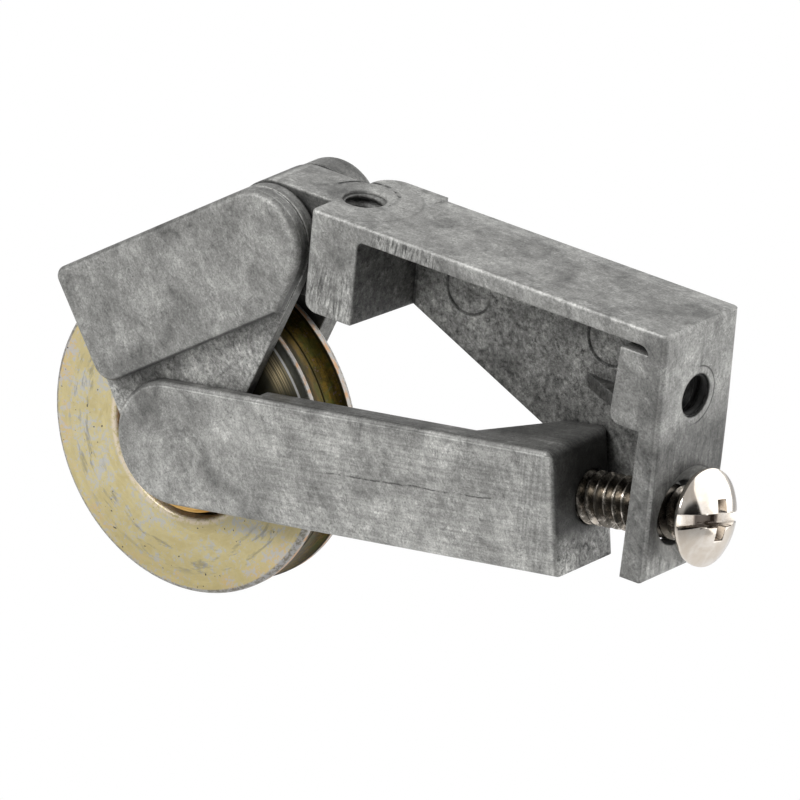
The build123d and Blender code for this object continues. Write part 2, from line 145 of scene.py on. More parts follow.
world = bpy.data.worlds.new("studio")
bpy.context.scene.world = world
world.use_nodes = True
tree = world.node_tree
tree.nodes.clear()
direction = add_node(tree, "TexCoord").outputs["Generated"]
side, back, up = add_node(tree, "SeparateXYZ", {0: direction}).outputs
ceiling = studio_ramp(tree, up, CEILING_HEIGHTS, EYE_LEVEL, CEILING)
backdrop = studio_ramp(tree, back, BACKDROP_DEPTHS, 0.0, BACKDROP)
studio = add_node(tree, "Math", {0: ceiling, 1: backdrop}, operation="MAXIMUM").outputs[0]
card = studio_ramp(tree, side, CARD_SIDES, 1.0, CARD)
studio = add_node(tree, "Math", {0: studio, 1: card}, operation="MULTIPLY").outputs[0]
path = add_node(tree, "LightPath")
plain_rays = {0: path.outputs["Is Camera Ray"], 1: path.outputs["Is Transmission Ray"]}
seen = add_node(tree, "Math", plain_rays, operation="MAXIMUM").outputs[0]
room = add_node(tree, "Background", {"Color": WHITE, "Strength": studio}).outputs[0]
white = add_node(tree, "Background", {"Color": WHITE, "Strength": 1.0}).outputs[0]
mix = add_node(tree, "MixShader", {0: seen, 1: room, 2: white}).outputs[0]
add_node(tree, "OutputWorld", {"Surface": mix})
print("World nodes:", len(tree.nodes))

# %% [markdown]
# Two soft boxes light the roller: the key light high at the front left, and a wide low one
# at the back right, which reaches the end wall. A lamp is given by its direction and by how
# bright it makes a white surface that faces it, which is easier to balance than a power in
# watts.

# %% Lamps
LAMP_DISTANCE = 0.8


def soft_box(name, direction, size, brightness):
    """A round lamp aimed at the roller; brightness 1 makes a facing white surface white."""
    data = bpy.data.lights.new(name, "AREA")
    data.shape = "DISK"
    data.size = size
    data.energy = brightness * (math.pi * LAMP_DISTANCE) ** 2
    lamp = bpy.data.objects.new(name, data)
    towards = Vector(direction).normalized()
    lamp.location = AIM + towards * LAMP_DISTANCE
    lamp.rotation_euler = towards.to_track_quat("Z", "Y").to_euler()
    bpy.context.scene.collection.objects.link(lamp)


soft_box("lamp_key", direction=(-0.38, -0.64, 0.67), size=0.4, brightness=1.0)
soft_box("lamp_right", direction=(0.6, 0.75, 0.28), size=1.4, brightness=0.98)

# %% [markdown]
# The floor lies well below the roller, which hangs by its mounting hole as it does in a
# door. It is pale, and to the camera it is as white as the backdrop in the photograph. Its
# lower side is clear, so that a camera below the floor still sees the roller.

# %% Floor
FLOOR_DROP = 0.35
FLOOR_SIZE = 6.0
FLOOR_PALE = (0.8, 0.8, 0.8, 1)

bpy.ops.object.select_all(action="DESELECT")
bpy.ops.mesh.primitive_plane_add(size=FLOOR_SIZE, location=(0, 0, cad_low[2] - FLOOR_DROP))
floor = bpy.context.object
floor.name = "floor"
floor_finish = bpy.data.materials.new("floor_white")
floor_finish.use_nodes = True
tree = floor_finish.node_tree
tree.nodes.clear()
camera_ray = add_node(tree, "LightPath").outputs["Is Camera Ray"]
pale = add_node(tree, "BsdfDiffuse", {"Color": FLOOR_PALE}).outputs[0]
white = add_node(tree, "Emission", {"Color": WHITE, "Strength": 1.0}).outputs[0]
upper = add_node(tree, "MixShader", {0: camera_ray, 1: pale, 2: white}).outputs[0]
from_below = add_node(tree, "NewGeometry").outputs["Backfacing"]
clear = add_node(tree, "BsdfTransparent").outputs[0]
both_sides = add_node(tree, "MixShader", {0: from_below, 1: upper, 2: clear}).outputs[0]
add_node(tree, "OutputMaterial", {"Surface": both_sides})
floor.data.materials.append(floor_finish)
print("Floor at", round(floor.location.z, 3))

# %% [markdown]
# Every finish here is built from a few kinds of noise, mixed by masks. Small helpers keep
# the recipes short: one gives the place on the piece in millimetres, one gives noise, one
# turns noise into a mask with a soft edge, and one mixes two colours by a mask. An output
# of a node knows its own tree, so a helper that is given one needs no tree besides.

# %% Helpers for finishes


def new_finish(name):
    """An empty material with a principled surface; returns the material, tree and surface."""
    finish = bpy.data.materials.new(name)
    finish.use_nodes = True
    tree = finish.node_tree
    tree.nodes.clear()
    surface = add_node(tree, "BsdfPrincipled")
    add_node(tree, "OutputMaterial", {"Surface": surface.outputs[0]})
    return finish, tree, surface


def place_in_mm(tree, stretch=(1, 1, 1), turn=(0, 0, 0)):
    """The point on the piece in millimetres, stretched for streaky patterns."""
    coordinates = add_node(tree, "TexCoord").outputs["Object"]
    turned = add_node(tree, "Mapping", {"Vector": coordinates, "Rotation": turn}).outputs[0]
    scale = tuple(value / MM for value in stretch)
    return add_node(tree, "Mapping", {"Vector": turned, "Scale": scale}).outputs[0]


def noise(where, scale, detail=4.0, roughness=0.55, distortion=0.0, seed=0.0):
    """Noise between 0 and 1; scale is the number of spots in a millimetre."""
    inputs = {"Vector": where, "W": seed, "Scale": scale, "Detail": detail}
    inputs.update({"Roughness": roughness, "Distortion": distortion})
    return add_node(where.id_data, "TexNoise", inputs, noise_dimensions="4D").outputs[0]


def mask(value, low, high):
    """0 at low and 1 at high, with a smooth step; low may be the larger of the two."""
    inputs = {"Value": value, "From Min": low, "From Max": high}
    return add_node(value.id_data, "MapRange", inputs, interpolation_type="SMOOTHSTEP").outputs[0]


def blend(factor, first, second, kind="MIX"):
    """Mix two colours; the factor may be a mask."""
    node = add_node(factor.id_data, "Mix", data_type="RGBA", blend_type=kind)
    set_input(node, 0, factor)
    set_input(node, 6, first)
    set_input(node, 7, second)
    return node.outputs[2]


def maths(kind, first, second=0.0):
    """One step of arithmetic on two values, of which at least one comes from a node."""
    known = first if isinstance(first, bpy.types.NodeSocket) else second
    node = add_node(known.id_data, "Math", operation=kind)
    set_input(node, 0, first)
    set_input(node, 1, second)
    return node.outputs[0]


def times(first, second):
    """The product of two values."""
    return maths("MULTIPLY", first, second)


def plus(first, second):
    """The sum of two values."""
    return maths("ADD", first, second)


def minus(first, second):
    """The first value less the second."""
    return maths("SUBTRACT", first, second)


def edge_mask(tree, width, low, high):
    """1 along the sharp edges of a solid, where the rounded normal leaves the true one."""
    rounded = add_node(tree, "Bevel", {"Radius": width}, samples=6).outputs[0]
    flat = add_node(tree, "NewGeometry").outputs["True Normal"]
    product = add_node(tree, "VectorMath", {0: rounded, 1: flat}, operation="DOT_PRODUCT")
    return mask(minus(1.0, product.outputs["Value"]), low, high)


# %% [markdown]
# Zinc castings come out of the die a silvery grey and dull within weeks. Tumbling polishes
# their outer faces, while hollows and sides keep the dark skin of the die, so each casting
# is told where its dark skin is; painted shade darkens its hollows and undersides further.
# Brightness is one number for as long as possible: every kind of mottling multiplies it,
# and only at the end does it become a colour.

# %% Tools for masks by place


def coordinates_in_mm(tree):
    """X, Y and Z of the point on the piece, in millimetres."""
    point = place_in_mm(tree)
    return add_node(tree, "SeparateXYZ", {0: point}).outputs


def between(value, low, high, soft):
    """1 where a value lies between two limits, with soft ends."""
    above = mask(value, low - soft, low + soft)
    below = mask(value, high + soft, high - soft)
    return times(above, below)


def all_of(*masks):
    """The product of several masks."""
    result = masks[0]
    for other in masks[1:]:
        result = times(result, other)
    return result


def scale_by(value, factor, where):
    """Multiply a value by a factor where a mask is 1."""
    change = times(where, factor - 1.0)
    return times(value, plus(change, 1.0))


def mottle(value, pattern, strength):
    """Multiply a value by a noise pattern that is 0.5 on average."""
    spread = times(minus(pattern, 0.5), strength)
    return times(value, plus(spread, 1.0))


# %% [markdown]
# Marks with a known place are drawn by distance. A scratch is the band near a line between
# two points on the near face, and a turned ring is the band near one radius about a hole.
# A little noise on the distance makes a scratch waver as real ones do.

# %% Scratches and rings
FULL_PART = 0.4


def near_zero(off, width):
    """1 where a distance is near zero, falling to 0 at a width on either side."""
    size = maths("ABSOLUTE", off)
    return minus(1.0, mask(size, width * FULL_PART, width))


def scratch(x, z, start, end, width, waver):
    """1 near a straight line between two points of the side view, in millimetres."""
    length = math.hypot(end[0] - start[0], end[1] - start[1])
    along_x = (end[0] - start[0]) / length
    along_z = (end[1] - start[1]) / length
    from_x = minus(x, start[0])
    from_z = minus(z, start[1])
    run_x = times(from_x, along_x)
    run_z = times(from_z, along_z)
    run = plus(run_x, run_z)
    off_x = times(from_x, -along_z)
    off_z = times(from_z, -along_x)
    off = minus(off_x, off_z)
    off = plus(off, minus(waver, 0.5))
    near = near_zero(off, width)
    return times(near, between(run, 0.0, length, 0.3))


def distance_to(first, second, centre):
    """Distance in the plane of two coordinates from a centre."""
    across = minus(first, centre[0])
    up = minus(second, centre[1])
    across_squared = times(across, across)
    up_squared = times(up, up)
    return maths("SQRT", plus(across_squared, up_squared))


def ring(distance, radius, width):
    """1 near one radius."""
    return near_zero(minus(distance, radius), width)


# %% [markdown]
# The shared part of the three castings: cloudy mottling at three sizes, short fibres that
# lean one way, light flecks of oxide, dark pits, edges rubbed bright, and dirt and painted
# shade in corners.
# The link is cloudier than the others, so the strengths of the two larger sizes can be set.

# %% Zinc casting finish
GREEN_SHARE = 0.997
BLUE_SHARE = 0.955
BRIGHTEST = 0.8


class Casting:
    """A zinc finish under construction: its tree, its coordinates and its brightness."""

    def __init__(self, name, seed, tone, broad=1.8, fine=1.9):
        self.finish, self.tree, self.surface = new_finish(name)
        tree = self.tree
        self.x, self.y, self.z = coordinates_in_mm(tree)
        self.where = place_in_mm(tree)
        leaning = place_in_mm(tree, stretch=(1.0, 1.0, 0.6), turn=(0, 0.6, 0))
        self.clouds = noise(self.where, 0.17, 3.0, 0.55, 0.6, seed)
        self.blotches = noise(leaning, 0.5, 7.0, 0.68, 1.0, seed + 5)
        self.fibres = noise(leaning, 1.3, 6.0, 0.7, 1.8, seed + 3)
        self.grain = noise(self.where, 4.2, 3.0, 0.7, 0.3, seed + 17)
        value = mottle(tone, self.clouds, broad)
        value = mottle(value, self.blotches, fine)
        value = mottle(value, self.fibres, 1.0)
        value = mottle(value, self.grain, 1.7)
        islands = noise(leaning, 0.85, 5.0, 0.6, 0.8, seed + 7)
        value = scale_by(value, 1.13, mask(islands, 0.52, 0.56))
        value = scale_by(value, 0.9, mask(islands, 0.45, 0.41))
        flecks = mask(self.fibres, 0.6, 0.68)
        value = scale_by(value, 1.3, flecks)
        smears = mask(self.blotches, 0.42, 0.34)
        value = scale_by(value, 0.84, smears)
        pits = mask(self.grain, 0.36, 0.28)
        value = scale_by(value, 0.6, pits)
        curls = noise(leaning, 0.75, 4.0, 0.6, 1.6, seed + 11)
        off_line = maths("ABSOLUTE", minus(curls, 0.5))
        lines = all_of(mask(off_line, 0.05, 0.01), mask(self.blotches, 0.45, 0.6))
        self.value = scale_by(value, 0.7, lines)

    def scale(self, factor, *masks):
        """Lighten or darken the brightness where all the masks are 1."""
        self.value = scale_by(self.value, factor, all_of(*masks))

    def pattern(self, pattern, strength, *masks):
        """Multiply the brightness by one more noise pattern where all the masks are 1."""
        spread = times(times(minus(pattern, 0.5), all_of(*masks)), strength)
        self.value = times(self.value, plus(spread, 1.0))

    def done(self):
        """Add worn edges, dirt and painted shade in corners, colour, roughness and relief, and return the finish.
        """
        tree = self.tree
        edges = edge_mask(tree, 0.2 * MM, 0.01, 0.16)
        rubbed = all_of(edges, mask(self.fibres, 0.4, 0.58), 0.75)
        # Painted shade with some dirt: ambient occlusion darkens corners and creases.
        corner = add_node(tree, "AmbientOcclusion", {"Distance": 1.6 * MM}, samples=8).outputs["AO"]
        grime_and_shade = times(mask(corner, 0.85, 0.35), 0.8)
        value = scale_by(self.value, 0.3, grime_and_shade)
        value = plus(value, times(rubbed, 0.13))
        value = maths("MINIMUM", value, BRIGHTEST)
        channels = {0: value, 1: times(value, GREEN_SHARE), 2: times(value, BLUE_SHARE)}
        colour = add_node(tree, "CombineColor", channels).outputs[0]
        set_input(self.surface, "Base Color", colour)
        set_input(self.surface, "Metallic", 0.45)
        rough = plus(0.38, times(self.fibres, 0.3))
        set_input(self.surface, "Roughness", rough)
        rounded = add_node(tree, "Bevel", {"Radius": 0.45 * MM}, samples=6).outputs[0]
        relief = plus(times(self.grain, 0.6), self.fibres)
        relief_inputs = {"Strength": 0.6, "Distance": 0.08 * MM, "Height": relief, "Normal": rounded}
        set_input(self.surface, "Normal", add_node(tree, "Bump", relief_inputs).outputs[0])
        return self.finish


def dress(node_name, finish):
    """Give a CAD node one finish in its material slot."""
    piece = nodes[node_name]
    piece.data.materials.clear()
    piece.data.materials.append(finish)


# %% [markdown]
# The housing comes first. Its masks by place are counted from a few named planes. The
# pocket keeps a speckled skin under painted shade, which is deepest low down, beside the
# boss, under the gusset and in the corner at the end wall. Two round ejector marks show on
# its back wall.

# %% Housing: the pocket
NEAR_FACE = -6.85
POCKET_LEFT = 4.35
POCKET_RIGHT = 46.0
BACK_WALL = 5.3
GUSSET_HEIGHTS = (-14.95, -13.1)
EJECTOR_MARKS = ((12.3, -8.35), (32.3, -8.35))
EJECTOR_RADIUS = 3.1

housing = Casting("zinc_housing", 1.0, 0.3)
tree = housing.tree
x, y, z = housing.x, housing.y, housing.z
behind_strip = mask(y, NEAR_FACE + 0.15, NEAR_FACE + 0.3)
below_top = mask(z, -0.9, -1.4)
in_length = between(x, POCKET_LEFT - 0.2, POCKET_RIGHT, 0.15)
before_wall = mask(y, BACK_WALL + 0.3, BACK_WALL)
in_pocket = all_of(behind_strip, below_top, in_length, before_wall)
# Painted shade in the pocket, deepest low down.
housing.scale(0.98, in_pocket)
housing.scale(0.58, in_pocket, mask(z, -9.0, -20.0))
# Painted shadow of the top plate on the top of the gusset.
gusset_height = between(z, GUSSET_HEIGHTS[0], GUSSET_HEIGHTS[1], 0.05)
off_wall = mask(y, 4.95, 4.7)
gusset = all_of(in_pocket, gusset_height, off_wall, mask(x, 28.6, 30.5))
housing.scale(0.4, gusset)
# Painted shade on the side of the boss that faces into the pocket.
boss_side = all_of(in_pocket, mask(x, 5.2, 4.9))
housing.scale(0.42, boss_side)
speckle = noise(housing.where, 1.5, 6.0, 0.8, 0.2, 31.0)
housing.pattern(speckle, 5.0, in_pocket)
for centre in EJECTOR_MARKS:
    mark = ring(distance_to(x, z, centre), EJECTOR_RADIUS, 0.22)
    diagonal = minus(plus(x, z), centre[0] + centre[1])
    lower_left = mask(diagonal, 2.0, 0.0)
    housing.scale(0.4, in_pocket, mark, lower_left)
# Painted shade in the pocket's corner at the end wall.
beside_end_wall = mask(x, 41.0, 42.5)
corner_height = between(z, -15.0, -8.0, 0.8)
housing.scale(0.12, in_pocket, beside_end_wall, corner_height)
print("Housing nodes after the pocket:", len(tree.nodes))

# %% [markdown]
# Upright streaks run down the foot of the boss, and a tool dug into the near strip beside
# it. The top is drawn along its length, and painted shade darkens it and the near strip of
# the end wall. A cutter has left rings round the tapped hole, and the inner one is torn on
# its far side, where painted shade darkens their step.

# %% Housing: the near face and the top
TOP_HOLE = (0.0, 0.0)
CUTTER_CENTRE = (-0.9, 0.9)

upright = place_in_mm(tree, stretch=(2.6, 0.3, 0.4), turn=(0, -0.12, 0))
streaks = noise(upright, 1.0, 4.0, 0.65, 1.2, 5.0)
on_near = mask(y, NEAR_FACE + 0.1, NEAR_FACE + 0.02)
drag = all_of(on_near, mask(x, 4.4, 4.0), mask(z, -5.0, -8.0))
housing.pattern(streaks, 3.8, drag)
centre_stain = mask(distance_to(x, z, (1.4, -3.4)), 3.0, 1.2)
housing.scale(0.84, on_near, centre_stain)
housing.scale(1.07, on_near, mask(x, 4.6, 4.2))
dig = all_of(on_near, between(x, 6.5, 15.5, 1.2), mask(z, -0.1, -0.5))
housing.pattern(streaks, 5.0, dig)
on_top = mask(z, -0.12, -0.05)
lengthwise = place_in_mm(tree, stretch=(0.2, 1.2, 1.0), turn=(0, 0, 0.15))
drawn = noise(lengthwise, 0.8, 5.0, 0.6, 0.9, 9.0)
housing.pattern(drawn, 0.8, on_top)
# Painted shade on the top: darker overall, less at its left end, more towards its right end.
housing.scale(0.84, on_top)
housing.scale(1.1, on_top, mask(x, 16.0, 7.0))
housing.scale(0.92, on_top, mask(x, 18.0, 30.0))
# Painted shade on the near strip of the end wall and beside it.
right_strip = all_of(on_near, mask(x, 44.0, 45.5))
housing.scale(0.6, right_strip)
housing.scale(0.86, on_near, between(x, 40.5, 45.0, 0.2))
hole_distance = distance_to(x, y, TOP_HOLE)
torn = mask(noise(housing.where, 1.1, 3.0, 0.6, 0.0, 12.0), 0.45, 0.56)
far_side = mask(y, -0.5, 1.5)
cutter_distance = distance_to(x, y, CUTTER_CENTRE)
# The inner ring is torn on its far side, and painted shade darkens the step of both rings there.
housing.scale(0.1, on_top, ring(cutter_distance, 4.05, 0.3), torn, far_side)
housing.scale(0.75, on_top, ring(cutter_distance, 4.1, 0.3), far_side)
outer_ring = ring(hole_distance, 6.7, 0.2)
housing.scale(0.8, on_top, outer_ring, mask(x, 1.0, 3.0))
housing.scale(0.85, on_top, mask(cutter_distance, 4.2, 4.0))
print("Housing nodes after the near face and the top:", len(tree.nodes))

# %% [markdown]
# The end wall has a ring of its own round its hole, darkened on its far side by painted
# shade, painted shade across its middle and upright wear towards its foot. The tongue that
# carries the fork has bright ends, and painted shade darkens its sides. Painted shade makes
# the bore behind the hole nearly black.

# %% Housing: the end wall and the tongue
END_FACE = 47.65
END_HOLE = (0.0, -9.0)
END_RING_RADIUS = 3.5

on_end = mask(x, END_FACE - 0.12, END_FACE - 0.05)
end_distance = distance_to(y, z, END_HOLE)
end_ring = ring(end_distance, END_RING_RADIUS, 0.14)
# Painted shade on the far side of the ring.
housing.scale(0.3, on_end, end_ring, mask(y, -0.8, 1.2))
housing.scale(1.12, on_end, mask(end_distance, END_RING_RADIUS, 3.3))
upright = place_in_mm(tree, stretch=(1.0, 1.2, 0.18))
worn_low = noise(upright, 1.3, 5.0, 0.62, 0.8, 14.0)
housing.pattern(worn_low, 2.2, on_end, mask(z, -11.0, -16.0))
# Painted shade across the middle of the end wall.
housing.scale(0.42, on_end, between(z, -26.0, -13.0, 3.0))
on_tongue = mask(x, -2.6, -3.1)
housing.scale(1.1, on_tongue)
# Painted shade on the sides of the tongue.
housing.scale(0.37, on_tongue, mask(z, -0.1, -0.5))
housing.scale(0.8, on_tongue, on_top)
# Painted shade makes the bore behind the end hole nearly black.
near_bore = mask(end_distance, 2.75, 2.62)
in_wall = mask(x, 40.0, 41.0)
under_face = mask(x, END_FACE + 0.1, END_FACE - 0.06)
housing.scale(0.25, near_bore, in_wall, under_face)
zinc_housing = housing.done()
dress("housing", zinc_housing)
print("Housing nodes:", len(tree.nodes))

# %% [markdown]
# The fork's near cheek has two layers: the outer one is tumbled bright, and the lower one is
# rougher, and painted light lightens it where the outer layer shades it. All the rest keeps a
# darker skin. Painted shade darkens the rounded edge of the outer layer where it looks up, the
# side under that layer, the space between the cheeks and the top of the far cheek. How far a
# face looks up tells the roundings and undersides from the flat faces.

# %% Fork finish
LAYER_FACE = -7.575
CHEEK_FACE = -5.35


def looking_up(tree):
    """How far a face looks up, from -1 to 1."""
    normal = add_node(tree, "TexCoord").outputs["Normal"]
    return add_node(tree, "SeparateXYZ", {0: normal}).outputs["Z"]


fork = Casting("zinc_fork", 4.0, 0.29)
tree = fork.tree
x, y, z = fork.x, fork.y, fork.z
fork.scale(0.62, mask(y, LAYER_FACE + 0.7, LAYER_FACE + 1.0))
rough_lit_cheek = between(y, CHEEK_FACE - 0.4, CHEEK_FACE + 0.15, 0.1)
speckle = noise(fork.where, 1.7, 6.0, 0.8, 0.2, 33.0)
# Painted light: the lower cheek is lightened where the outer layer shades it.
fork.scale(2.1, rough_lit_cheek)
fork.pattern(speckle, 4.0, rough_lit_cheek)
facing_up = looking_up(tree)
# Painted shade on the outer layer's rounded edge where it looks up.
shaded_rounding = between(y, LAYER_FACE + 0.12, LAYER_FACE + 0.7, 0.08)
fork.scale(0.62, shaded_rounding, mask(facing_up, 0.05, 0.4))
# Painted shadow under the outer layer.
shadowed_layer_side = between(y, LAYER_FACE + 0.2, CHEEK_FACE - 0.2, 0.1)
fork.scale(0.35, shadowed_layer_side, mask(facing_up, -0.2, -0.6))
# Painted shade between the cheeks.
shade_between_cheeks = between(y, -3.9, 4.9, 0.2)
fork.scale(0.5, shade_between_cheeks)
# Painted shade on the top of the far cheek.
fork.scale(0.82, mask(y, 4.8, 5.0), mask(facing_up, 0.3, 0.7))
lengthwise = place_in_mm(tree, stretch=(0.3, 2.2, 0.3))
drawn = noise(lengthwise, 1.0, 4.0, 0.6, 0.3, 19.0)
fork.pattern(drawn, 1.2, mask(y, LAYER_FACE + 0.9, LAYER_FACE + 1.2))
zinc_fork = fork.done()
dress("swing_arm", zinc_fork)
print("Fork nodes:", len(tree.nodes))

# %% [markdown]
# The link is tumbled on its near face only, with a bright line along its upper edge. Painted
# shade darkens the rounded edge behind that and the link's deeper faces. The end of its block,
# where the screw comes out, has a painted shadow above and painted light below, where it is
# torn rough.

# %% Link: faces, edges and the block's end
BLOCK_END = (29.7, 30.1)

link = Casting("zinc_link", 8.0, 0.34, broad=2.3, fine=1.3)
tree = link.tree
x, y, z = link.x, link.y, link.z
on_near = mask(y, NEAR_FACE + 0.25, NEAR_FACE + 0.12)
behind = mask(y, NEAR_FACE + 0.35, NEAR_FACE + 0.6)
facing_up = looking_up(tree)
# Painted shade on the rounded upper edge where it looks up.
shaded_rounding = between(y, NEAR_FACE - 0.1, NEAR_FACE + 0.6, 0.06)
link.scale(0.6, shaded_rounding, mask(facing_up, 0.12, 0.4))
link.scale(1.05, on_near, mask(x, -8.0, 0.0))
edge_slope = between(facing_up, 0.03, 0.2, 0.03)
bright_edge = all_of(edge_slope, mask(y, NEAR_FACE + 0.3, NEAR_FACE + 0.1))
link.scale(1.35, bright_edge)
link.scale(0.5, behind)
# Painted shade on the deeper faces behind the near face, such as the top of the block.
link.scale(0.5, behind, mask(y, -4.5, -1.5))
along_x = times(x, screw_axis.x)
along_z = times(z, screw_axis.z)
along_screw = plus(along_x, along_z)
block_end = mask(along_screw, BLOCK_END[0], BLOCK_END[1])
# Painted shadow on the upper part of the block's end.
link.scale(0.68, block_end, mask(z, -29.2, -27.6))
torn_skin = noise(link.where, 1.0, 5.0, 0.7, 1.5, 26.0)
# Painted light on the lower part of the block's end, whose skin is torn rough.
torn_lit_low_end = all_of(block_end, behind, mask(z, -28.0, -30.0))
link.scale(2.1, torn_lit_low_end)
link.pattern(torn_skin, 5.0, torn_lit_low_end)
print("Link nodes after its faces:", len(tree.nodes))

# %% [markdown]
# Four kinds of marks go on the link: circles about its round end, brushing along its length,
# a comb of upright marks beside the block, and one long broken scratch. The noise is
# stretched along each mark, so the marks stay fine across and long the other way.

# %% Link: brushing and the long scratch
ROUND_END = (axle.x / MM + 1.5, axle.z / MM - 1.0)
SCRATCH_START = (2.6, -30.9)
SCRATCH_END = (26.0, -26.6)

end_distance = distance_to(x, z, ROUND_END)
circle_place = {0: times(end_distance, 0.7)}
circle_place.update({1: times(x, 0.12), 2: times(z, 0.12)})
turned = add_node(tree, "CombineXYZ", circle_place).outputs[0]
circles = noise(turned, 1.0, 5.0, 0.65, 1.5, 21.0)
within = mask(end_distance, 8.0, 3.0)
off_centre = mask(end_distance, 0.8, 2.5)
link.pattern(circles, 1.5, on_near, within, off_centre)
waver = noise(link.where, 0.25, 3.0, 0.6, 0.0, 23.0)
broken = mask(noise(link.where, 0.9, 4.0, 0.7, 0.0, 24.0), 0.42, 0.52)
long_scratch = scratch(x, z, SCRATCH_START, SCRATCH_END, 0.12, waver)
link.scale(0.4, on_near, long_scratch, broken)
lengthwise = place_in_mm(tree, stretch=(0.12, 0.3, 2.6), turn=(0, 0.16, 0))
brushed = noise(lengthwise, 1.0, 4.0, 0.6, 0.3, 28.0)
link.pattern(brushed, 1.3, on_near, mask(x, -10.0, -4.0))
on_top_lengthwise = place_in_mm(tree, stretch=(0.15, 2.4, 0.3))
drawn = noise(on_top_lengthwise, 1.0, 4.0, 0.6, 0.3, 29.0)
link.pattern(drawn, 1.8, behind, mask(facing_up, 0.6, 0.9))
upright = place_in_mm(tree, stretch=(3.0, 0.3, 0.12))
combed = noise(upright, 1.0, 3.0, 0.5, 0.0, 27.0)
link.pattern(combed, 1.4, on_near, between(along_screw, 24.5, 29.0, 0.8))
zinc_link = link.done()
dress("adjusting_link", zinc_link)
print("Link nodes:", len(tree.nodes))

# %% [markdown]
# The wheel is pressed steel with yellow zinc plating. Radius and angle about the axle drive
# its patterns, so that its streaks are circles, as wear on a wheel is.

# %% Places and noises of the wheel


def radius_and_angle(tree):
    """Radius from the axle in millimetres, angle, and depth in millimetres from its middle."""
    coordinates = add_node(tree, "TexCoord").outputs["Object"]
    from_axle = {0: coordinates, 1: tuple(axle)}
    centred = add_node(tree, "VectorMath", from_axle, operation="SUBTRACT").outputs[0]
    x, depth, z = add_node(tree, "SeparateXYZ", {0: centred}).outputs
    square = plus(times(x, x), times(z, z))
    radius = maths("DIVIDE", maths("SQRT", square), MM)
    return radius, maths("ARCTAN2", z, x), maths("DIVIDE", depth, MM)


def ring_place(tree, radius, angle, depth, along, across):
    """A point for noise that runs in rings; along and across stretch the streaks."""
    cosine = times(maths("COSINE", angle), along)
    sine = times(maths("SINE", angle), along)
    spread = times(plus(radius, depth), across)
    return add_node(tree, "CombineXYZ", {0: cosine, 1: sine, 2: spread}).outputs[0]


class WheelPattern:
    """The places and noises that the face and the groove of one wheel half share."""

    def __init__(self, tree, seed):
        self.seed = seed
        self.radius, self.angle, self.depth = radius_and_angle(tree)
        self.where = place_in_mm(tree)
        rings = ring_place(tree, self.radius, self.angle, self.depth, 3.0, 0.9)
        self.streaks = noise(rings, 1.6, 6.0, 0.65, 0.3, seed)
        self.patches = noise(self.where, 0.3, 6.0, 0.65, 0.5, seed + 5)
        self.flecks = noise(self.where, 2.2, 5.0, 0.7, 0.4, seed + 7)


# %% [markdown]
# The flat face has worn to a pale straw colour with grey patches that run round it, an
# orange cast near the rim, a smudged band, scattered pits and a torn lip at the hub, which
# painted light brightens where the link shades it. The rim itself is bare grey metal.

# %% Wheel: the worn face
STRAW = (0.54, 0.45, 0.22, 1)
PALE_STRAW = (0.62, 0.55, 0.32, 1)
STREAK_STRAW = (0.66, 0.57, 0.3, 1)
ORANGE = (0.66, 0.44, 0.2, 1)
WORN_GREY = (0.5, 0.51, 0.53, 1)
SMUDGE = (0.17, 0.16, 0.13, 1)
PIT = (0.08, 0.075, 0.07, 1)
TORN_LIP_PAINTED_LIGHT = (0.74, 0.64, 0.5, 1)
LOWER_TINT = (0.78, 0.76, 0.68, 1)
RIM_DARK = (0.13, 0.13, 0.13, 1)
RIM_LIGHT = (0.36, 0.36, 0.37, 1)


def worn_face(wheel):
    """The colour of the flat faces of a wheel half."""
    radius, streaks, patches, flecks = wheel.radius, wheel.streaks, wheel.patches, wheel.flecks
    straw = blend(mask(patches, 0.35, 0.65), STRAW, PALE_STRAW)
    straw = blend(mask(streaks, 0.4, 0.7), straw, STREAK_STRAW)
    rim_zone = mask(radius, 15.8, 18.0)
    orange = all_of(rim_zone, mask(patches, 0.46, 0.6), 0.55)
    straw = blend(orange, straw, ORANGE)
    patch_share = times(patches, 0.75)
    grey_zone = plus(patch_share, times(streaks, 0.25))
    worn = plus(flecks, times(grey_zone, 0.9))
    worn = times(mask(worn, 0.97, 1.06), 0.8)
    straw = blend(worn, straw, WORN_GREY)
    smudged_band = between(radius, 13.4, 16.8, 0.9)
    smudge = all_of(smudged_band, mask(streaks, 0.5, 0.64), 0.55)
    straw = blend(smudge, straw, SMUDGE)
    pits = noise(wheel.where, 1.9, 1.5, 0.4, 0.0, wheel.seed + 9)
    straw = blend(mask(pits, 0.72, 0.75), straw, PIT)
    # The torn lip at the hub, brightened by painted light where the link shades it.
    lip = mask(radius, 10.95, 10.5)
    torn = mask(flecks, 0.4, 0.52)
    straw = blend(times(lip, torn), straw, TORN_LIP_PAINTED_LIGHT)
    height = times(radius, maths("SINE", wheel.angle))
    lower = times(mask(height, -8.0, -18.0), 0.8)
    straw = blend(lower, straw, LOWER_TINT, "MULTIPLY")
    rim_grey = blend(mask(flecks, 0.42, 0.56), RIM_DARK, RIM_LIGHT)
    rim = times(mask(radius, 18.4, 18.6), 0.85)
    return blend(rim, straw, rim_grey)


# %% [markdown]
# Painted shadow darkens one sector of the near face, the one that shows in the gap between
# fork and link, nearly to black, with painted glints of turned rings in it. Noise on the angle
# keeps the edge of the sector uneven, because a straight one would look cut out when the wheel
# turns.

# %% Wheel: the painted shadow in the gap
GAP_SHADOW = (0.022, 0.022, 0.014, 1)
GAP_GLINT = (0.75, 0.6, 0.34, 1)
GAP_RIM_HIGHLIGHT = (0.4, 0.4, 0.4, 1)


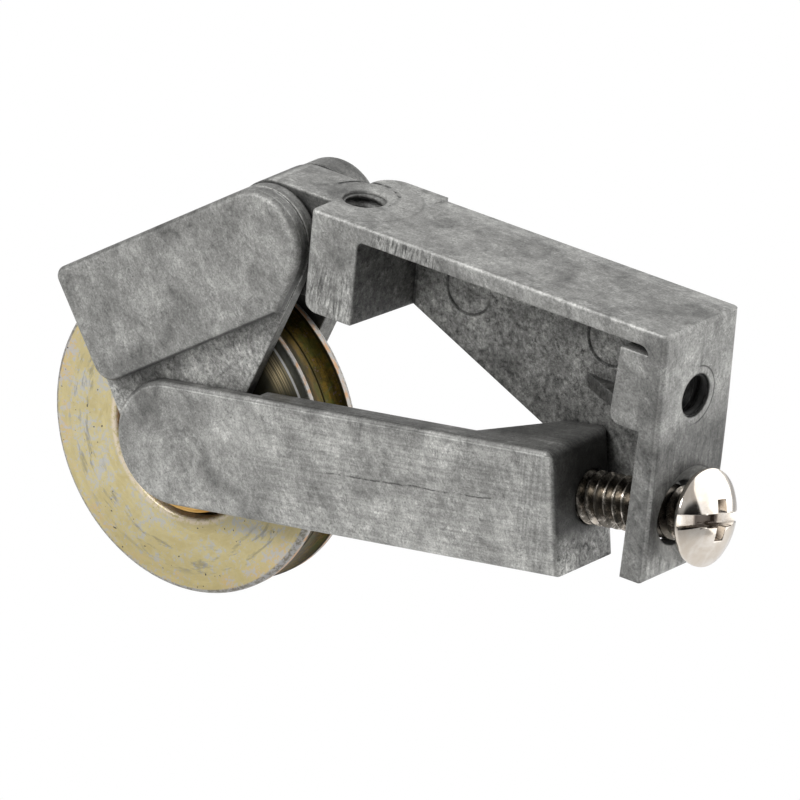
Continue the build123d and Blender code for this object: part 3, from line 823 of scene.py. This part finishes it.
def shadowed_gap(tree, wheel):
    """A mask for the sector of a wheel half under painted shadow, and its colour with painted glints."""
    sway = times(minus(wheel.patches, 0.5), 1.2)
    sector = between(plus(wheel.angle, sway), 0.25, 1.3, 0.25)
    in_gap_shadow = all_of(sector, mask(wheel.depth, -3.0, -3.6))
    glint_radius = between(wheel.radius, 15.4, 17.8, 0.8)
    highlight_patch = all_of(glint_radius, between(wheel.angle, 0.68, 0.82, 0.12))
    by_radius = add_node(tree, "CombineXYZ", {0: wheel.radius}).outputs[0]
    turned = noise(by_radius, 3.6, 3.0, 0.8, 0.0, wheel.seed + 3)
    glints = all_of(highlight_patch, mask(turned, 0.42, 0.6))
    # Painted glints on the turned rings, and a painted highlight along the rim.
    gap_colour = blend(glints, GAP_SHADOW, GAP_GLINT)
    gap_colour = blend(ring(wheel.radius, 18.2, 0.22), gap_colour, GAP_RIM_HIGHLIGHT)
    return times(in_gap_shadow, 0.96), gap_colour


# %% [markdown]
# The groove keeps a glossy olive gold with violet and green spots, as thick yellow zinc has.
# It is darkest at the seam of the two halves and at the brink of the lands, and the lands
# beside it are rubbed to steel and copper.

# %% Wheel: the groove
OLIVE = (0.034, 0.025, 0.006, 1)
GOLD = (0.1, 0.064, 0.01, 1)
VIOLET = (0.09, 0.06, 0.07, 1)
GREEN = (0.045, 0.055, 0.012, 1)
SEAM = (0.03, 0.025, 0.01, 1)
BRINK = (0.02, 0.016, 0.008, 1)
LAND_STEEL = (0.46, 0.44, 0.42, 1)
LAND_COPPER = (0.56, 0.36, 0.22, 1)


def groove_colour(wheel, off_middle, land):
    """The colour of the groove and of the lands beside it."""
    where, seed = wheel.where, wheel.seed
    gold = plus(times(wheel.flecks, 0.6), wheel.streaks)
    olive = blend(mask(gold, 0.7, 0.98), OLIVE, GOLD)
    violet = mask(noise(where, 3.4, 2.0, 0.5, 0.0, seed + 13), 0.6, 0.68)
    olive = blend(times(violet, 0.6), olive, VIOLET)
    green = mask(noise(where, 0.8, 3.0, 0.5, 0.0, seed + 15), 0.5, 0.62)
    olive = blend(times(green, 0.5), olive, GREEN)
    seam = mask(off_middle, 0.3, 0.12)
    olive = blend(times(seam, 0.75), olive, SEAM)
    rubbed = noise(where, 0.8, 5.0, 0.65, 0.4, seed + 17)
    copper = blend(mask(rubbed, 0.44, 0.58), LAND_STEEL, LAND_COPPER)
    brink = between(off_middle, 2.4, 2.74, 0.06)
    olive = blend(times(brink, 0.8), olive, BRINK)
    return blend(land, olive, copper)


# %% [markdown]
# The two recipes meet at the tread, by depth and by radius. The tread is also more metallic
# and a little glossier than the worn faces, and the rubbed lands are duller.

# %% Wheel: plating of both halves


def wheel_plating(name, seed):
    """Straw-coloured worn plating on the faces and glossy olive gold in the groove."""
    finish, tree, surface = new_finish(name)
    wheel = WheelPattern(tree, seed)
    in_gap_shadow, gap_colour = shadowed_gap(tree, wheel)
    face = blend(in_gap_shadow, worn_face(wheel), gap_colour)
    off_middle = maths("ABSOLUTE", wheel.depth)
    tread = mask(off_middle, 3.3, 3.2)
    tread = times(tread, mask(wheel.radius, 15.0, 16.0))
    land = all_of(mask(off_middle, 2.7, 2.78), mask(wheel.radius, 18.6, 18.8))
    groove = groove_colour(wheel, off_middle, land)
    set_input(surface, "Base Color", blend(tread, face, groove))
    metallic = plus(0.4, times(tread, 0.58))
    set_input(surface, "Metallic", metallic)
    dull = plus(0.34, times(wheel.flecks, 0.25))
    gloss = minus(1.0, times(tread, 0.1))
    gloss = scale_by(gloss, 1.5, times(land, tread))
    set_input(surface, "Roughness", times(dull, gloss))
    relief = plus(wheel.flecks, times(wheel.streaks, 0.8))
    bump = add_node(tree, "Bump", {"Strength": 0.35, "Distance": 0.05 * MM, "Height": relief})
    set_input(surface, "Normal", bump.outputs[0])
    return finish


dress("wheel_front", wheel_plating("wheel_front_plating", 2.0))
dress("wheel_back", wheel_plating("wheel_back_plating", 6.0))
print("Wheel dressed")

# %% [markdown]
# The race, balls and pins are plain steel pieces, turned or ground, so their marks run
# round them. The race is plated golden yellow.

# %% Race, balls and pins


def turned_metal(name, dark, light, roughness, seed):
    """Bright turned metal with fine rings about the axle."""
    finish, tree, surface = new_finish(name)
    radius, angle, depth = radius_and_angle(tree)
    rings = ring_place(tree, radius, angle, depth, 2.0, 4.0)
    streaks = noise(rings, 1.5, 4.0, 0.6, 0.0, seed)
    colour = blend(mask(streaks, 0.35, 0.65), dark, light)
    set_input(surface, "Base Color", colour)
    set_input(surface, "Metallic", 1.0)
    set_input(surface, "Roughness", roughness)
    bump = add_node(tree, "Bump", {"Strength": 0.2, "Distance": 0.03 * MM, "Height": streaks})
    set_input(surface, "Normal", bump.outputs[0])
    return finish


race_gold = turned_metal("race_gold", (0.55, 0.3, 0.08, 1), (0.85, 0.55, 0.2, 1), 0.28, 3.0)
pin_steel = turned_metal("pin_steel", (0.3, 0.3, 0.3, 1), (0.5, 0.5, 0.49, 1), 0.4, 5.0)
ball_steel = turned_metal("ball_steel", (0.6, 0.6, 0.6, 1), (0.7, 0.7, 0.7, 1), 0.12, 7.0)
for side in ("front", "back"):
    dress("inner_race_" + side, race_gold)
dress("pivot_pin", pin_steel)
dress("wheel_axle", pin_steel)
for node_name in nodes:
    if node_name.startswith("ball_"):
        dress(node_name, ball_steel)

# %% [markdown]
# The screw is nickel plated: mirror bright and a little warm. Nickel is not one flat mirror.
# Handling leaves faint smears, so the roughness changes a little from place to place. Painted
# shade with some dirt darkens its corners. The shaft is tarnished in patches, and dirt and
# painted shade darken the recess of the head. Both are masked by the height along the screw,
# counted in millimetres from the wheel's axle.

# %% Screw finish
SHAFT_FADE = (70.4, 70.1)
HEAD_FADE = (70.2, 70.4)
RECESS_FADE = (72.3, 71.5)
RECESS_RADII = (2.6 * MM, 1.9 * MM)
NICKEL = (0.64, 0.57, 0.49, 1)
BRIGHT_NICKEL = (0.76, 0.71, 0.65, 1)
SCREW_GRIME_AND_SHADE = (0.045, 0.03, 0.02, 1)
TARNISH = (0.11, 0.1, 0.085, 1)
RECESS_DIRT_AND_SHADE = (0.1, 0.065, 0.045, 1)


def nickel_plate(name):
    """Bright warm nickel with faint smears, painted shade in corners, tarnish on the shaft and dirt and painted
    shade in the recess.
    """
    finish, tree, surface = new_finish(name)
    where = place_in_mm(tree)
    smear = noise(where, 0.5, 4.0, 0.6, 0.5, 2.0)
    colour = blend(mask(smear, 0.35, 0.65), NICKEL, BRIGHT_NICKEL)
    # Painted shade with some dirt: ambient occlusion darkens the corners.
    corner = add_node(tree, "AmbientOcclusion", {"Distance": 1.8 * MM}, samples=8).outputs["AO"]
    grime_and_shade = times(mask(corner, 0.8, 0.3), 0.8)
    colour = blend(grime_and_shade, colour, SCREW_GRIME_AND_SHADE)
    coordinates = add_node(tree, "TexCoord").outputs["Object"]
    offset = {0: coordinates, 1: tuple(axle)}
    from_axle = add_node(tree, "VectorMath", offset, operation="SUBTRACT").outputs[0]
    product = {0: from_axle, 1: tuple(screw_axis / MM)}
    run = add_node(tree, "VectorMath", product, operation="DOT_PRODUCT").outputs["Value"]
    shaft = mask(run, SHAFT_FADE[0], SHAFT_FADE[1])
    tarnish = noise(where, 0.8, 5.0, 0.7, 0.4, 4.0)
    dirty = times(shaft, mask(tarnish, 0.62, 0.5))
    colour = blend(times(dirty, 0.93), colour, TARNISH)
    along = {0: tuple(screw_axis * MM), "Scale": run}
    axial = add_node(tree, "VectorMath", along, operation="SCALE").outputs[0]
    points = {0: from_axle, 1: axial}
    off_axis = add_node(tree, "VectorMath", points, operation="DISTANCE").outputs["Value"]
    under_dome = mask(run, RECESS_FADE[0], RECESS_FADE[1])
    near_axis = mask(off_axis, RECESS_RADII[0], RECESS_RADII[1])
    in_head = mask(run, HEAD_FADE[0], HEAD_FADE[1])
    in_recess = all_of(under_dome, near_axis, in_head)
    # Dirt and painted shade in the recess of the head.
    colour = blend(times(in_recess, 0.75), colour, RECESS_DIRT_AND_SHADE)
    set_input(surface, "Base Color", colour)
    metallic = minus(1.0, times(in_recess, 0.7))
    set_input(surface, "Metallic", metallic)
    polish = plus(0.07, times(smear, 0.08))
    shaft_dull = times(shaft, 0.16)
    dull = plus(shaft_dull, times(in_recess, 0.5))
    set_input(surface, "Roughness", plus(polish, dull))
    return finish


nickel = nickel_plate("screw_nickel")
print("Screw finish:", nickel.name)

# %% [markdown]
# The CAD screw has a plain shaft, and a thread is what the eye looks for first on a screw.
# A thread could be a bump pattern, but its outline would stay straight. Here one pitch of
# the real V is drawn as a chain of vertices, and the Screw modifier winds it up the shaft.
# The chain starts from a plane whose corners are merged into one vertex at its middle.

# %% A profile drawn by extruding one vertex


def pick(piece):
    """Make one piece the only selected one, and active."""
    bpy.ops.object.select_all(action="DESELECT")
    piece.select_set(True)
    bpy.context.view_layer.objects.active = piece

def edit_only(piece):
    """Pick one piece and open it for editing."""
    pick(piece)
    bpy.ops.object.mode_set(mode="EDIT")


def profile_chain(name, points):
    """A chain of edges through points of radius and height in millimetres."""
    first = Vector((points[0][0] * MM, 0, points[0][1] * MM))
    bpy.ops.object.select_all(action="DESELECT")
    bpy.ops.mesh.primitive_plane_add(size=MM)
    piece = bpy.context.object
    piece.name = name
    edit_only(piece)
    bpy.ops.mesh.select_all(action="SELECT")
    bpy.ops.mesh.merge(type="CENTER")
    bpy.ops.transform.translate(value=first)
    for start, end in zip(points, points[1:]):
        step = ((end[0] - start[0]) * MM, 0, (end[1] - start[1]) * MM)
        bpy.ops.mesh.extrude_vertices_move(TRANSFORM_OT_translate={"value": step})
    bpy.ops.object.mode_set(mode="OBJECT")
    return piece


def apply_modifier(piece, kind, **settings):
    """Add a modifier to a piece, set it and apply it."""
    modifier = piece.modifiers.new(kind, kind)
    for name, value in settings.items():
        setattr(modifier, name, value)
    pick(piece)
    bpy.ops.object.modifier_apply(modifier=modifier.name)


# %% [markdown]
# The winding is longer than the shaft at first. Bisect cuts it square at both ends and fills
# the cut, so the thread runs out at a flat face as on a rolled screw. The same rod, used as
# a cutter, is a tap: it leaves the matching thread in a hole.

# %% Threaded rod
PITCH = 1.27
THREAD_STEPS = 40
RUN_OUT = 1.2
MERGE_DISTANCE = 0.002 * MM


def wind(piece, steps, winding):
    """Wind a chain about the Z axis with the Screw modifier, a number of steps to a turn."""
    turn = {"axis": "Z", "angle": 2 * math.pi, "use_smooth_shade": False}
    apply_modifier(piece, "SCREW", steps=steps, render_steps=steps, **turn, **winding)


def threaded_rod(name, crest, root, low, high):
    """A closed rod with a right-hand V thread along Z, between two heights in millimetres."""
    turns = math.ceil((high - low) / PITCH) + 2
    start = low - RUN_OUT * PITCH
    flat = PITCH / 8
    slope = (PITCH - 2 * flat) / 2
    one_pitch = [(root, 0), (crest, slope), (crest, slope + flat)]
    one_pitch += [(root, PITCH - flat), (root, PITCH)]
    rod = profile_chain(name, [(radius, start + height) for radius, height in one_pitch])
    winding = {"screw_offset": PITCH * MM, "iterations": turns}
    wind(rod, THREAD_STEPS, winding)
    edit_only(rod)
    bpy.ops.mesh.select_all(action="SELECT")
    bpy.ops.mesh.remove_doubles(threshold=MERGE_DISTANCE)
    for height, keep_above in ((low, True), (high, False)):
        bpy.ops.mesh.select_all(action="SELECT")
        cut = {"plane_co": (0, 0, height * MM), "plane_no": (0, 0, 1), "use_fill": True}
        bpy.ops.mesh.bisect(clear_inner=keep_above, clear_outer=not keep_above, **cut)
    bpy.ops.mesh.select_all(action="SELECT")
    bpy.ops.mesh.normals_make_consistent(inside=False)
    bpy.ops.object.mode_set(mode="OBJECT")
    return rod


def smooth_by_angle(piece, degrees):
    """Shade a piece smooth, apart from edges sharper than an angle."""
    pick(piece)
    bpy.ops.object.shade_smooth_by_angle(angle=math.radians(degrees))


def set_place(piece, matrix):
    """Move a finished piece to its place and keep that place in its mesh."""
    piece.matrix_world = matrix
    pick(piece)
    bpy.ops.object.transform_apply(location=True, rotation=True, scale=True)


# %% [markdown]
# The screw's own heights are counted from the wheel's axle, along the screw, as the link
# places it. The shaft is cut square at its tip, which the block hides, and reaches a little
# way into the head, so that head and shaft overlap where they are joined.

# %% Screw: threaded shaft
TIP = 38.556
HEAD_SEAT = 70.306
CREST_RADIUS = 3.15
ROOT_RADIUS = 2.42
SHAFT_INTO_HEAD = 0.1

shaft_end = HEAD_SEAT + SHAFT_INTO_HEAD
screw = threaded_rod("adjusting_screw_threaded", CREST_RADIUS, ROOT_RADIUS, TIP, shaft_end)
print("Thread faces:", len(screw.data.polygons))

# %% [markdown]
# The head is a low dome with a rim. A chain wound with no offset is a lathe, so the same
# modifier turns it. Its recess takes both a flat and a cross driver: a Boolean takes the
# slot and two wings out of the dome, and a narrow Bevel breaks the edges so they glint.

# %% Screw: domed head
HEAD_RADIUS = 5.62
HEAD_RIM = 0.75
HEAD_HEIGHT = 2.9
HEAD_RINGS = 10
HEAD_STEPS = 72


def lathe(name, points, steps):
    """A closed turned solid from a chain that starts and ends on the Z axis."""
    piece = profile_chain(name, points)
    wind(piece, steps, {"screw_offset": 0.0, "iterations": 1})
    edit_only(piece)
    bpy.ops.mesh.select_all(action="SELECT")
    bpy.ops.mesh.remove_doubles(threshold=MERGE_DISTANCE)
    bpy.ops.mesh.select_all(action="SELECT")
    bpy.ops.mesh.normals_make_consistent(inside=False)
    bpy.ops.object.mode_set(mode="OBJECT")
    return piece


dome_height = HEAD_HEIGHT - HEAD_RIM
dome_radius = (HEAD_RADIUS**2 + dome_height**2) / (2 * dome_height)
head_points = [(0, 0), (HEAD_RADIUS - 0.35, 0), (HEAD_RADIUS - 0.06, 0.2)]
head_points += [(HEAD_RADIUS, 0.42), (HEAD_RADIUS, HEAD_RIM)]
for level in range(1, HEAD_RINGS + 1):
    level_radius = HEAD_RADIUS * (1 - level / HEAD_RINGS)
    sag = dome_radius - math.sqrt(dome_radius**2 - level_radius**2)
    head_points.append((level_radius, HEAD_HEIGHT - sag))
head = lathe("screw_head", head_points, HEAD_STEPS)
print("Head faces:", len(head.data.polygons))

# %% [markdown]
# Each cutter is a cube scaled to its slot and taken away with a Boolean. The wings of the
# cross narrow towards their foot, so the lower face of their cube is scaled in first.

# %% Screw: slot and cross in the head
RECESS_TURN = math.radians(-12)
SLOT_WIDTH = 1.4
SLOT_DEPTH = 2.35
CROSS_SPAN = 6.9
CROSS_WIDTH = 2.3
CROSS_DEPTH = 2.75
WING_FOOT = 0.45
EDGE_BREAK = 0.09
SHARP_EDGE = math.radians(35)


def wedge(name, length, width, depth, top, turn, foot):
    """A block that reaches down from a height; its foot is scaled in."""
    bpy.ops.object.select_all(action="DESELECT")
    bpy.ops.mesh.primitive_cube_add(size=1)
    piece = bpy.context.object
    piece.name = name
    edit_only(piece)
    bpy.ops.mesh.select_all(action="DESELECT")
    bpy.ops.object.mode_set(mode="OBJECT")
    for face in piece.data.polygons:
        face.select = face.normal.z < -0.9
    bpy.ops.object.mode_set(mode="EDIT")
    bpy.ops.transform.resize(value=(foot, foot, 1))
    bpy.ops.object.mode_set(mode="OBJECT")
    shape = Matrix.Diagonal((width * MM, length * MM, 2 * depth * MM, 1))
    raised = Matrix.Translation((0, 0, top * MM)) @ shape
    set_place(piece, Matrix.Rotation(turn, 4, "Z") @ raised)
    return piece


def cut_with(piece, cutter):
    """Take one solid out of another with a Boolean, and delete the cutter."""
    apply_modifier(piece, "BOOLEAN", operation="DIFFERENCE", object=cutter, solver="EXACT")
    bpy.data.objects.remove(cutter, do_unlink=True)


slot_size = (3 * HEAD_RADIUS, SLOT_WIDTH, SLOT_DEPTH)
cut_with(head, wedge("slot_cutter", *slot_size, HEAD_HEIGHT, RECESS_TURN, 1.0))
cross_size = (CROSS_SPAN, CROSS_WIDTH, CROSS_DEPTH)
for quarter in (0, math.pi / 2):
    wing = wedge("wing_cutter", *cross_size, HEAD_HEIGHT, RECESS_TURN + quarter, WING_FOOT)
    cut_with(head, wing)
edge_break = {"width": EDGE_BREAK * MM, "limit_method": "ANGLE", "angle_limit": SHARP_EDGE}
apply_modifier(head, "BEVEL", segments=2, **edge_break)
print("Head faces after the cuts:", len(head.data.polygons))

# %% [markdown]
# Head and shaft become one piece, stood along the screw's axis. Its local Z points to the
# head and its local Y stays the frame's Y, which keeps the recess turned as on the roller.

# %% Screw: joined and put in its place
SMOOTH_ANGLE = 32

head_lift = Matrix.Translation((0, 0, HEAD_SEAT * MM))
set_place(head, head_lift)
bpy.ops.object.select_all(action="DESELECT")
head.select_set(True)
screw.select_set(True)
bpy.context.view_layer.objects.active = screw
bpy.ops.object.join()
deep_axis = Vector((0, 1, 0))
across_axis = deep_axis.cross(screw_axis)
stand = Matrix((across_axis, deep_axis, screw_axis)).transposed().to_4x4()
set_place(screw, Matrix.Translation(axle) @ stand)
smooth_by_angle(screw, SMOOTH_ANGLE)
screw.data.materials.clear()
screw.data.materials.append(nickel)
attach(screw, "screw")
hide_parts("adjusting_screw")

# %% [markdown]
# Both mounting holes are tapped. A liner stands for their thread: a plain plug that just
# fits the bore, with the threaded rod taken out of it. Its crests stand a little inside the
# bore, and its mouth is set back, as under the chamfer of a tapped hole.

# %% Threads of the two mounting holes
BORE_RADIUS = 2.6
LINER_CREST = 2.2
LINER_ROOT = 2.57
LINER_GAP = 0.002
LINER_STEPS = 48
TAP_OVERRUN = 1


def thread_liner(name, depth):
    """A closed ring with an internal thread, from height zero down to a depth in millimetres."""
    radius = BORE_RADIUS - LINER_GAP
    liner = lathe(name, [(0, -depth), (radius, -depth), (radius, 0), (0, 0)], LINER_STEPS)
    tap = threaded_rod("tap", LINER_ROOT, LINER_CREST, -depth - TAP_OVERRUN, TAP_OVERRUN)
    cut_with(liner, tap)
    smooth_by_angle(liner, SMOOTH_ANGLE)
    return liner


# Painted shade: the liners' zinc is much darker than the housing's, and nearly black in the end wall's hole.
bore = Casting("zinc_bore_shaded", 15.0, 0.13)
bore.scale(0.1, mask(bore.x, 40.0, 41.0))
shaded_bore_zinc = bore.done()
mounts = {mount["name"]: mount for mount in frame["record"]["mounts"]}
liner_sizes = {"top_hole": (0.35, 11.4), "end_hole": (0.3, 1.7)}
for mount_name, (set_back, depth) in liner_sizes.items():
    mouth = Vector(mounts[mount_name]["pos_m"])
    outward = Vector(mounts[mount_name]["axis"])
    liner = thread_liner(mount_name + "_thread", depth)
    stand = outward.to_track_quat("Z", "Y").to_matrix().to_4x4()
    set_place(liner, Matrix.Translation(mouth - outward * set_back * MM) @ stand)
    liner.data.materials.append(shaded_bore_zinc)
    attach(liner, "housing")
    print(liner.name, "faces:", len(liner.data.polygons))

# %% [markdown]
# The last cell prints that the script has finished.

# %% Finish
print("Finished")
